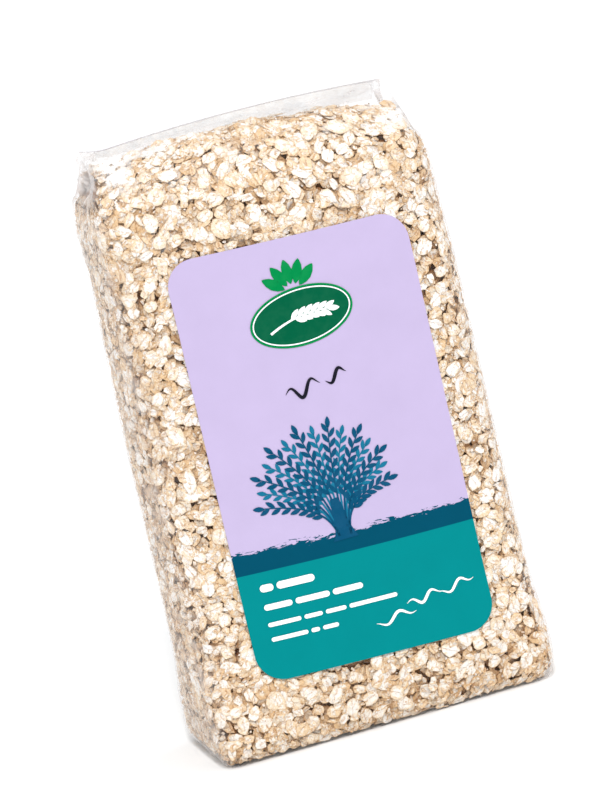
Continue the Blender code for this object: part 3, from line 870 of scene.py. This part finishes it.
def buildFilm(material):
    sheet, around, share = unitGrid(filmShape["columns"], filmShape["rows"])
    climb = lookup["length"] * share
    points, ways = onPack(around, climb)
    folds = foldLift(around, climb)
    lumps = np.array([noise.noise(Vector(p) * 190.0) for p in points])
    waves = np.array([noise.noise(Vector((p[0] * 45.0, p[1] * 45.0, p[2] * 80.0))) for p in points])
    stand = standOut(points, ways, climb)
    filled = stand / packShape["relief"]
    under = onLabel(points, ways, 3 * mm)
    press = np.where(under, 0.0, filmShape["press"] * (0.5 + 0.5 * lumps) * filled)
    empty = ease((points[:, 2] - fillAgainst(points, ways) + 4 * mm) / (6 * mm))
    slack = filmShape["slack"] * waves * empty * ease((lookup["length"] - climb) / (5 * mm))
    crease = filmShape["cornerLift"] * cornerShare(ways) * filled
    lift = stand + filmShape["lift"] + press + slack + crease + np.where(under, 0.0, folds * mm)
    lift *= ease(climb / (1.5 * mm))
    topRow = climb > lookup["length"] - 1e-6
    points = points + ways * np.where(topRow, 0.0, lift)[:, None]
    points[topRow, 1] = 0.0
    points[climb < 1e-6, 2] = 0.12 * mm
    addHaze(sheet, filmHazeAndSheen(points, folds, ways))
    addHaze(sheet, paintedGlareShare(around, climb), "paintedGlare")
    closeWrap(sheet, pullEars(points), 2e-6)
    return finishMesh("film", sheet, material, 60.0)


def panelStrip(panel, halfWidth, climbLow, climbHigh, columns, rows):
    # a flat grid laid on the middle of one panel of the pack
    sheet, aside, share = unitGrid(columns, rows)
    climb = climbLow + (climbHigh - climbLow) * share
    around = panelMiddles[panel] + (2.0 * aside - 1.0) * halfWidth / girthAt(climb)
    return sheet, aside, share, climb, *onPack(around, climb)


sealShape = {"length": 22 * mm, "ribs": 22, "ribHeight": 0.10 * mm, "lift": 0.75 * mm,
             "seamWidth": 11 * mm, "seamLift": 2.0 * mm, "seamRib": 2.4 * mm, "thickness": 0.12 * mm}


def finishSheet(name, sheet, points, material):
    setPlaces(sheet, points)
    bmesh.ops.solidify(sheet, geom=sheet.faces[:], thickness=sealShape["thickness"])
    faceOut(sheet)
    return finishMesh(name, sheet, material, 60.0)


def buildTopFlap(material):
    # the crimped seal, folded down behind the top fold
    top = lookup["length"]
    sheet, _, share, _, points, ways = panelStrip(
        "back", 0.425 * packShape["width"], top - sealShape["length"], top, 120, 44)
    ribs = np.sin(share * sealShape["ribs"] * 2 * math.pi) * sealShape["ribHeight"]
    loose = np.array([noise.noise(Vector((p[0] * 60.0, 0.0, p[2] * 30.0))) for p in points])
    lift = sealShape["lift"] + ribs + 0.5 * mm * loose * (1 - share)
    lift += 1.3 * mm * ease((0.45 - share) / 0.4)      # clear of the flakes lower down
    lift *= ease((1.0 - share) / 0.12)
    ribbed = ease((0.5 - share) / 0.1)     # only its end's crimp is milky
    addHaze(sheet, 0.015 + (0.05 + 0.06 * np.abs(ribs) / sealShape["ribHeight"]) * ribbed)
    return finishSheet("topFlap", sheet, points + ways * (lift + filmShape["lift"])[:, None], material)


def buildBackSeam(material):
    # the long seam down the back, sealed flat and lying to one side
    top = lookup["length"] - sealShape["length"] - 1 * mm
    sheet, aside, _, climb, points, ways = panelStrip(
        "back", 0.5 * sealShape["seamWidth"], 3 * mm, top, 10, 200)
    ribs = np.sin(climb / sealShape["seamRib"] * 2 * math.pi) * 0.05 * mm
    edge = ease((0.5 - np.abs(aside - 0.5)) / 0.08)
    lift = (sealShape["seamLift"] + filmShape["press"]) * (0.55 + 0.45 * aside) + ribs * edge
    addHaze(sheet, 0.08 + 0.06 * (aside > 0.25))
    return finishSheet("backSeam", sheet, points + ways * lift[:, None], material)


def buildFoldBead(material):
    # the tight roll of film along the top fold
    bead = bmesh.new()
    ring = bmesh.ops.create_circle(bead, cap_ends=True, segments=8, radius=0.26 * mm)["verts"]
    count = 70
    xs = np.linspace(-topHalfWidth, topHalfWidth, count)
    lean = readKeys(packShape["leanKeys"], 1.0)
    topZ = packShape["height"] - packShape["foldDrop"] * (xs / topHalfWidth) ** 2
    path = pullEars(np.stack([xs + lean, np.zeros(count), topZ - 0.2 * mm], -1))
    bmesh.ops.rotate(bead, verts=ring, cent=(0, 0, 0), matrix=Matrix.Rotation(0.5 * math.pi, 3, "Y"))
    bmesh.ops.translate(bead, verts=ring, vec=Vector(path[0]))
    face = bead.faces[:][0]
    for before, after in zip(path[:-1], path[1:]):
        grown = bmesh.ops.extrude_face_region(bead, geom=[face])["geom"]
        bead.faces.remove(face)
        face = next(part for part in grown if isinstance(part, bmesh.types.BMFace))
        bmesh.ops.translate(bead, verts=face.verts[:], vec=Vector(after - before))
    faceOut(bead)
    addHaze(bead, np.full(len(bead.verts), 0.45))
    return finishMesh("foldBead", bead, material, 60.0)


def buildBaseFolds(material):
    # the envelope fold under the pack: two side flaps tucked under one long flap
    halfWidth, halfDepth = 0.46 * packShape["width"], 0.43 * packShape["depth"]
    flaps = bmesh.new()
    for sign in (-1, 1):
        outer = [(sign * halfWidth, -halfDepth), (sign * halfWidth, halfDepth),
                 (sign * (halfWidth - halfDepth), 0.35 * halfDepth),
                 (sign * (halfWidth - halfDepth), -0.35 * halfDepth)]
        corners = [flaps.verts.new((x, y, 0.10 * mm)) for x, y in outer]
        flaps.faces.new(corners)
    strip = [(-halfWidth, -0.30 * halfDepth), (halfWidth, -0.30 * halfDepth),
             (halfWidth, 0.12 * halfDepth), (-halfWidth, 0.12 * halfDepth)]
    flaps.faces.new([flaps.verts.new((x, y, 0.06 * mm)) for x, y in strip])
    bmesh.ops.subdivide_edges(flaps, edges=flaps.edges[:], cuts=3, use_grid_fill=True)
    addHaze(flaps, np.full(len(flaps.verts), 0.25))
    bmesh.ops.solidify(flaps, geom=flaps.faces[:], thickness=0.03 * mm)
    faceOut(flaps)
    return finishMesh("baseFolds", flaps, material, 40.0)


# Label fields are in millimetres from the label's middle, up being positive
labelPrint = {
    "lilac": srgb(181, 168, 201), "navy": srgb(0, 71, 94), "teal": srgb(0, 126, 129),
    "darkGreen": srgb(0, 86, 57), "white": srgb(236, 240, 240),
    "ink": srgb(24, 24, 34), "gloss": 0.03,
    "navyTop": -33.6, "navyBottom": -41.8, "brush": 2.6,
}


def sliceFine(shape, step):
    # cuts a flat shape along both ways, so that it can follow the label's curve
    for way in (0, 1):
        low = min(v.co[way] for v in shape.verts)
        high = max(v.co[way] for v in shape.verts)
        place = low + step
        while place < high - 0.2 * step:
            centre, normal = Vector((0, 0, 0)), Vector((0, 0, 0))
            centre[way], normal[way] = place, 1.0
            geometry = shape.verts[:] + shape.edges[:] + shape.faces[:]
            bmesh.ops.bisect_plane(shape, geom=geometry, dist=1e-7, plane_co=centre, plane_no=normal)
            place += step


def wrapOnLabel(shape, lift):
    # flat shape in the label's own millimetres (x across, y up) onto the pack's front
    cosine, sine = math.cos(labelShape["tilt"]), math.sin(labelShape["tilt"])
    for vert in shape.verts:
        u, v = vert.co.x - labelShape["skew"] * vert.co.y, vert.co.y
        x = labelShape["centre"][0] + u * cosine - v * sine
        z = labelShape["centre"][1] + v * cosine + u * sine
        vert.co = (x, -frontDepth(x, z) - lift - vert.co.z, z)


def makeLabelMaterial():
    skin = Skin("labelPaper")
    place = skin.place()
    turn = skin.add("Mapping", {"Vector": place, "Rotation": (0.0, -labelShape["tilt"], 0.0),
                                "Location": (labelShape["centre"][0], 0.0, labelShape["centre"][1])},
                    vector_type="TEXTURE").outputs[0]
    up = skin.split(turn)[2]
    # the band's upper edge is dry brushed: long strokes that break up
    stretch = skin.add("Mapping", {"Vector": turn, "Scale": (0.42, 1.0, 1.5)}).outputs[0]
    strokes = skin.noise(stretch, 620.0, 4.0, 0.62, 0.8)
    slow = skin.noise(stretch, 130.0, 2.0)
    reach = labelPrint["brush"] * mm * 1.7
    rough = skin.math("MULTIPLY_ADD", strokes, 2.0 * reach, -reach)
    drift = skin.math("MULTIPLY_ADD", slow, 4.5 * mm, -2.25 * mm)
    ragged = skin.math("ADD", up, skin.math("ADD", rough, drift))
    colour = labelPrint["lilac"]
    bands = ((ragged, "navyTop", 0.1, "navy"), (up, "navyBottom", 0.05, "teal"))
    for height, edge, soft, below in bands:
        top = labelPrint[edge]
        share = skin.span(height, (top - soft) * mm, (top + soft) * mm, 1.0, 0.0, "LINEAR")
        colour = skin.mix(share, colour, labelPrint[below])
    ink = skin.span(skin.noise(place, 60.0, 3.0), 0.3, 0.7, 0.975, 1.02, "LINEAR")
    shade = skin.add("CombineColor", {0: ink, 1: ink, 2: ink}).outputs[0]
    fibre = skin.noise(place, 1500.0, 3.0)
    colour = skin.mix(1.0, colour, shade, "MULTIPLY")
    return skin.finish(skin.solid(colour, skin.span(fibre, 0.3, 0.7, 0.42, 0.52), labelPrint["gloss"],
                                  skin.bump(fibre, 0.08, 0.2 * mm)))


def makeInkMaterial(name, colour):
    skin = Skin(name)
    mottle = skin.noise(skin.place(), 240.0, 3.0)
    paler = tuple(min(1.0, c * 1.08 + 0.004) for c in colour[:3]) + (1.0,)
    colour = skin.mix(skin.span(mottle, 0.35, 0.7), colour, paler)
    return skin.finish(skin.solid(colour, skin.span(mottle, 0.3, 0.7, 0.40, 0.5), labelPrint["gloss"]))


def buildLabel():
    sheet = bmesh.new()
    bmesh.ops.create_grid(sheet, x_segments=1, y_segments=1, size=0.5)
    bmesh.ops.scale(sheet, vec=(labelShape["width"], labelShape["height"], 1.0), verts=sheet.verts[:])
    bmesh.ops.bevel(sheet, geom=sheet.verts[:], offset=labelShape["corner"], segments=12,
                    profile=0.5, affect="VERTICES", material=-1)
    sliceFine(sheet, labelShape["slice"])
    bmesh.ops.solidify(sheet, geom=sheet.faces[:], thickness=labelShape["thickness"])
    wrapOnLabel(sheet, labelShape["lift"])
    faceOut(sheet)
    return finishMesh("labelSheet", sheet, makeLabelMaterial(), 35.0)


def addKernel(shape, place, turn, length, width):
    # one pointed grain
    made = bmesh.ops.create_circle(shape, cap_ends=True, segments=12, radius=1.0)["verts"]
    for vert in made:
        pinch = 1.0 - 0.55 * abs(vert.co.y) ** 2.2
        vert.co = (vert.co.x * pinch * 0.5 * width, vert.co.y * 0.5 * length, 0.0)
    bmesh.ops.rotate(shape, verts=made, cent=(0, 0, 0), matrix=Matrix.Rotation(turn, 3, "Z"))
    bmesh.ops.translate(shape, verts=made, vec=(place[0], place[1], 0.0))


def addStroke(shape, path, widths):
    # a flat ribbon that follows a line, as wide as its widths
    for number, (here, after) in enumerate(zip(path[:-1], path[1:])):
        sides = []
        for place, width in ((here, widths[number]), (after, widths[number + 1])):
            ahead = path[min(number + 2, len(path) - 1)] if place is after else after
            behind = here if place is after else path[max(number - 1, 0)]
            way = Vector((ahead[0] - behind[0], ahead[1] - behind[1])).normalized()
            sides.append([(place[0] - way.y * 0.5 * width, place[1] + way.x * 0.5 * width, 0.0),
                          (place[0] + way.y * 0.5 * width, place[1] - way.x * 0.5 * width, 0.0)])
        corners = [shape.verts.new(c) for c in (sides[0][0], sides[0][1], sides[1][1], sides[1][0])]
        shape.faces.new(corners)


def addEar(shape, foot, knee, head, kernels, size):
    # an ear of grain on a bent stalk, in millimetres on the label
    steps = 26
    path = []
    for number in range(steps + 1):
        t = number / steps
        path.append(tuple((1 - t) ** 2 * a + 2 * t * (1 - t) * b + t * t * c
                          for a, b, c in zip(foot, knee, head)))
    addStroke(shape, path, [1.0 - 0.6 * n / steps for n in range(steps + 1)])
    start = int(steps * 0.46)
    for number in range(kernels):
        t = start + (steps - start) * number / kernels
        low = int(t)
        part = t - low
        here, after = path[low], path[min(low + 1, steps)]
        x, y = here[0] + (after[0] - here[0]) * part, here[1] + (after[1] - here[1]) * part
        lean = math.atan2(after[1] - here[1], after[0] - here[0]) - 0.5 * math.pi
        side = 1 if number % 2 else -1
        turn = lean - side * 0.55
        shift = 0.46 * size
        offset = (x + side * shift * math.cos(lean), y + side * shift * math.sin(lean))
        addKernel(shape, offset, turn, size * 1.5, size * 0.62)
    addKernel(shape, path[-1], lean, size * 1.6, size * 0.7)


def addBar(shape, left, middle, length, height):
    # a plain bar with round ends, in place of a line of words
    half = 0.5 * height
    made = bmesh.ops.create_grid(shape, x_segments=1, y_segments=1, size=0.5)["verts"]
    bmesh.ops.scale(shape, vec=(length, height, 1.0), verts=made)
    bmesh.ops.translate(shape, verts=made, vec=(left + 0.5 * length, middle, 0.0))
    bmesh.ops.bevel(shape, geom=made, offset=half * 0.98, segments=5, profile=0.5,
                    affect="VERTICES", material=-1)


def finishPrint(name, shape, lift, colour):
    sliceFine(shape, 5.0)
    for vert in shape.verts:
        vert.co *= mm
    wrapOnLabel(shape, labelShape["lift"] + labelShape["thickness"] + lift)
    faceOut(shape)
    for face in shape.faces:
        if face.normal.y > 0:
            face.normal_flip()
    return finishMesh(name, shape, makeInkMaterial(name + "Ink", colour), 30.0)


sheafPrint = {
    "foot": (-3.2, -35.0), "waist": (-4.6, -19.0), "middle": (-7.0, -13.5),
    "reach": (28.0, 25.0),      # half width of the crown, and its height over the middle
    "ears": 15, "fan": math.radians(98), "kernels": 13, "size": 3.0,
    "trunk": [(-36.5, 10.5), (-34.0, 8.0), (-31.0, 6.2), (-27.0, 5.2), (-23.0, 4.6), (-19.5, 3.4)],
}


def buildSheaf():
    # a sheaf of grain in two blues; every other ear stands behind
    layers = [bmesh.new(), bmesh.new()]
    root, waist, middle, reach = [sheafPrint[key] for key in ("foot", "waist", "middle", "reach")]
    count = sheafPrint["ears"]
    for number in range(count):
        angle = sheafPrint["fan"] * (2.0 * number / (count - 1) - 1.0)
        aside, up = math.sin(angle), math.cos(angle)
        behind = number % 2 == 1
        stretch = 0.90 if behind else 1.0
        head = (middle[0] + reach[0] * stretch * aside, middle[1] + reach[1] * stretch * up)
        foot, knee = (root[0] + 2.6 * aside, root[1]), (waist[0] + 3.0 * aside, waist[1] + 7.0 * up)
        addEar(layers[behind], foot, knee, head, sheafPrint["kernels"], sheafPrint["size"] * stretch)
    heights, widths = zip(*sheafPrint["trunk"])
    across = np.interp(heights, (root[1], waist[1]), (root[0], waist[0]))
    addStroke(layers[0], list(zip(across, heights)), widths)
    return [finishPrint("printEarsBehind", layers[1], 0.015 * mm, srgb(20, 104, 134)),
            finishPrint("printEars", layers[0], 0.03 * mm, srgb(8, 72, 104))]


badgePrint = {"middle": (-0.6, 54.4), "reach": (21.0, 11.3), "turn": math.radians(5.5), "leaves": 5}


def addOval(shape, reach, ring=None):
    middle, steps = badgePrint["middle"], 96
    if ring:
        loop = [(middle[0] + reach[0] * math.cos(2 * math.pi * n / steps),
                 middle[1] + reach[1] * math.sin(2 * math.pi * n / steps)) for n in range(steps + 1)]
        addStroke(shape, loop, [ring] * (steps + 1))
        return
    made = bmesh.ops.create_circle(shape, cap_ends=True, segments=steps, radius=1.0)["verts"]
    bmesh.ops.scale(shape, vec=(reach[0], reach[1], 1.0), verts=made)
    bmesh.ops.translate(shape, verts=made, vec=(middle[0], middle[1], 0.0))


def buildBadge():
    # a plain oval with an ear on it, and a fan of grains above
    oval, line, fan = bmesh.new(), bmesh.new(), bmesh.new()
    middle, reach = badgePrint["middle"], badgePrint["reach"]
    addOval(oval, reach)
    addOval(line, (reach[0] - 0.9, reach[1] - 0.9), 0.5)
    addOval(fan, reach, 0.7)
    addEar(line, (middle[0] - 14.0, middle[1] - 3.2), (middle[0], middle[1] + 2.5),
           (middle[0] + 13.0, middle[1] - 1.0), 11, 3.3)
    for number in range(badgePrint["leaves"]):
        angle = math.radians(50) * (2.0 * number / (badgePrint["leaves"] - 1) - 1.0)
        place = (middle[0] + 9.0 * math.sin(angle), middle[1] + reach[1] - 2.0 + 9.0 * math.cos(angle))
        addKernel(fan, place, -angle, 10.0, 4.4)
    for shape in (oval, line, fan):
        bmesh.ops.rotate(shape, verts=shape.verts[:], cent=(*middle, 0.0),
                         matrix=Matrix.Rotation(badgePrint["turn"], 3, "Z"))
    return [finishPrint("printBadge", oval, 0.02 * mm, labelPrint["darkGreen"]),
            finishPrint("printBadgeLine", line, 0.045 * mm, labelPrint["white"]),
            finishPrint("printGrains", fan, 0.03 * mm, srgb(0, 126, 66))]


# Lines of words as rows of short bars: left end, middle height, bar height and the bars' lengths
barRows = [
    (-41.5, -48.4, 3.0, (5.5, 15.5)), (-41.5, -56.2, 2.4, (11.5, 14.0, 12.5)),
    (-41.5, -63.3, 1.7, (13.5, 7.5, 8.5, 20.0)), (-41.5, -69.3, 1.7, (15.0, 3.5, 6.5)),
]


def addSwash(shape, start, end, waves, tall, widest, turn=0.0):
    # a brush stroke that waves along its way and thins at both ends
    steps = 48
    path, widths = [], []
    for number in range(steps + 1):
        t = number / steps
        sway = tall * math.sin(turn + t * waves * 2 * math.pi) * (0.4 + 0.6 * math.sin(math.pi * t))
        path.append((start[0] + (end[0] - start[0]) * t, start[1] + (end[1] - start[1]) * t + sway))
        widths.append(0.12 + widest * math.sin(math.pi * min(max(t, 0.01), 0.99)))
    addStroke(shape, path, widths)


def buildPrint():
    pieces = buildSheaf() + buildBadge()
    title = bmesh.new()
    addSwash(title, (-14.0, 24.6), (0.5, 27.4), 1.5, 3.2, 1.35, 0.4)
    addSwash(title, (2.8, 27.2), (11.8, 29.2), 1.0, 2.6, 1.35, 3.4)
    pieces.append(finishPrint("printTitle", title, 0.02 * mm, labelPrint["ink"]))
    words = bmesh.new()
    for left, middle, height, lengths in barRows:
        for length in lengths:
            addBar(words, left, middle, length, height)
            left += length + 1.3
    addSwash(words, (1.0, -73.5), (18.0, -71.0), 1.4, 1.9, 1.1, 2.6)
    addSwash(words, (15.0, -68.5), (30.0, -66.0), 1.6, 1.8, 1.1, 0.5)
    addSwash(words, (29.0, -67.5), (44.0, -64.0), 1.5, 1.7, 1.0, 2.0)
    pieces.append(finishPrint("printBars", words, 0.02 * mm, labelPrint["white"]))
    return pieces


sceneSettings = {
    "azimuth": -12.6, "elevation": 11.24, "roll": 12.86, "distance": 2.2,
    "aim": (-0.5 * mm, 1.2 * mm, 130.3 * mm), "lens": 248.2,
    "suns": {"keySun": {"power": 2.12, "azimuth": -10.0, "elevation": 45.0, "spread": 8.0},
             "leftSun": {"power": 0.66, "azimuth": -80.0, "elevation": 17.0, "spread": 70.0},
             "rightSun": {"power": 0.85, "azimuth": 68.0, "elevation": 44.0, "spread": 80.0}},
    "skyStrength": 0.62, "floor": ((0.895, 0.90, 0.905, 1.0), (0.905, 0.91, 0.915, 1.0)),
}


def buildFloor():
    skin = Skin("studioFloor")
    mottle = skin.noise(skin.place(), 6.0, 3.0)
    colour = skin.mix(mottle, sceneSettings["floor"][0], sceneSettings["floor"][1])
    material = skin.finish(skin.solid(colour, 0.8, 0.1))
    sheet = bmesh.new()
    bmesh.ops.create_grid(sheet, x_segments=8, y_segments=8, size=30.0)
    bmesh.ops.translate(sheet, verts=sheet.verts[:], vec=(0.0, 0.0, -0.15 * mm))
    floor = finishMesh("studioFloor", sheet, material)


def awayFrom(azimuth, elevation):
    # the way from the pack towards something at these angles in degrees, front being zero
    turn, rise = math.radians(azimuth), math.radians(elevation)
    return Vector((math.sin(turn) * math.cos(rise), -math.cos(turn) * math.cos(rise), math.sin(rise)))


def buildStudio():
    buildFloor()
    world = bpy.data.worlds.new("studioSky")
    world.use_nodes = True
    background = world.node_tree.nodes["Background"]
    background.inputs["Color"].default_value = (1.0, 1.0, 1.0, 1.0)
    background.inputs["Strength"].default_value = sceneSettings["skyStrength"]
    bpy.context.scene.world = world
    for name, look in sceneSettings["suns"].items():
        data = bpy.data.lights.new(name, "SUN")
        data.energy = look["power"]
        data.angle = math.radians(look["spread"])
        sun = bpy.data.objects.new(name, data)
        way = awayFrom(look["azimuth"], look["elevation"])
        sun.location = way * 3.0
        sun.rotation_euler = (-way).to_track_quat("-Z", "Y").to_euler()
        bpy.context.scene.collection.objects.link(sun)
    view = bpy.context.scene.view_settings
    view.view_transform = "Standard"
    view.look = "None"
    back = awayFrom(sceneSettings["azimuth"], sceneSettings["elevation"])
    data = bpy.data.cameras.new("camera")
    data.lens = sceneSettings["lens"]
    data.sensor_width = 36.0
    data.clip_start, data.clip_end = 0.05, 100.0
    camera = bpy.data.objects.new("camera", data)
    camera.location = Vector(sceneSettings["aim"]) + back * sceneSettings["distance"]
    roll = Matrix.Rotation(-math.radians(sceneSettings["roll"]), 3, "Z")
    camera.rotation_euler = ((-back).to_track_quat("-Z", "Y").to_matrix() @ roll).to_euler()
    bpy.context.scene.collection.objects.link(camera)
    bpy.context.scene.camera = camera


print("placing the flakes")
flakes = buildFlakes()
print("building the core")
core = buildCore()
print("building the film")
clearFilm = makeFilmMaterial("clearFilm", filmLooks["film"])
sealedFilm = makeFilmMaterial("sealedFilm", filmLooks["seal"])
foldedFilm = makeFilmMaterial("foldedFilm", filmLooks["fold"])
film = buildFilm(clearFilm)
folds = [buildTopFlap(sealedFilm), buildBackSeam(sealedFilm), buildFoldBead(foldedFilm),
         buildBaseFolds(sealedFilm)]
print("building the label and its print")
label = buildLabel()
prints = buildPrint()

for piece in flakes + [core]:
    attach(piece, "root")
    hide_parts("bag")
for piece in [film] + folds:
    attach(piece, "root")
    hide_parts("bag")
for piece in [label] + prints:
    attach(piece, "root")
    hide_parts("label")

print("lighting")
buildStudio()
